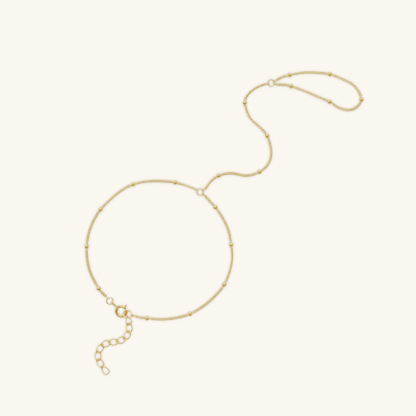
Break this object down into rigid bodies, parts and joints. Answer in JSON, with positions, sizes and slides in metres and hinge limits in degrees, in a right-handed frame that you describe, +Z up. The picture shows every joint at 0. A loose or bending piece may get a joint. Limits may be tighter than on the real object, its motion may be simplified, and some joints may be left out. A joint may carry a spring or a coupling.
{
  "type": "hand chain bracelet",
  "caption": "Fine gold curb chain with round beads: a wrist loop with a spring ring clasp and extender, joined over the hand to a finger loop.",
  "frame": {"origin": "middle of the footprint, on the surface that the bracelet lies on", "axes": "+Z up off the surface, +Y from the wrist loop to the finger loop, +X to the right of that"},
  "size_m": [0.1026, 0.1116, 0.0031],
  "materials": {
    "chain_gold": "polished gold plate on fine curb links",
    "ring_gold": "polished gold plate on round wire",
    "clasp_gold": "polished gold plate on drawn tube",
    "bead_gold": "polished gold plate on seamless round beads",
    "link_gold": "polished gold plate on round wire"
  },
  "bodies": {
    "bracelet": {"wrist_chain_left": "chain_gold", "wrist_chain_right": "chain_gold", "hand_chain": "chain_gold", "finger_chain": "chain_gold", "wrist_ring": "ring_gold", "finger_ring": "ring_gold", "clasp_ring": "ring_gold", "end_ring": "ring_gold", "clasp_body": "clasp_gold", "wrist_bead_1": "bead_gold", "wrist_bead_2": "bead_gold", "wrist_bead_3": "bead_gold", "wrist_bead_4": "bead_gold", "wrist_bead_5": "bead_gold", "wrist_bead_6": "bead_gold", "wrist_bead_7": "bead_gold", "wrist_bead_8": "bead_gold", "wrist_bead_9": "bead_gold", "wrist_bead_10": "bead_gold", "hand_bead_1": "bead_gold", "hand_bead_2": "bead_gold", "hand_bead_3": "bead_gold", "hand_bead_4": "bead_gold", "finger_bead_1": "bead_gold", "finger_bead_2": "bead_gold", "finger_bead_3": "bead_gold", "finger_bead_4": "bead_gold", "finger_bead_5": "bead_gold", "extender_link_1": "link_gold", "extender_link_2": "link_gold", "extender_link_3": "link_gold", "extender_link_4": "link_gold", "extender_link_5": "link_gold", "extender_link_6": "link_gold", "extender_link_7": "link_gold", "extender_link_8": "link_gold", "extender_link_9": "link_gold", "extender_link_10": "link_gold"},
    "latch": {"clasp_latch": "clasp_gold"}
  },
  "joints": [
    {"name": "latch_slide", "type": "hinge", "parent": "bracelet", "child": "latch", "pos_m": [-0.03765, -0.03235, 0.00117], "axis": [-0.2068, -0.2296, 0.9511], "range_deg": [0, 50], "stiffness_Nm_per_rad": 0.003, "springref_deg": -17.19}
  ]
}
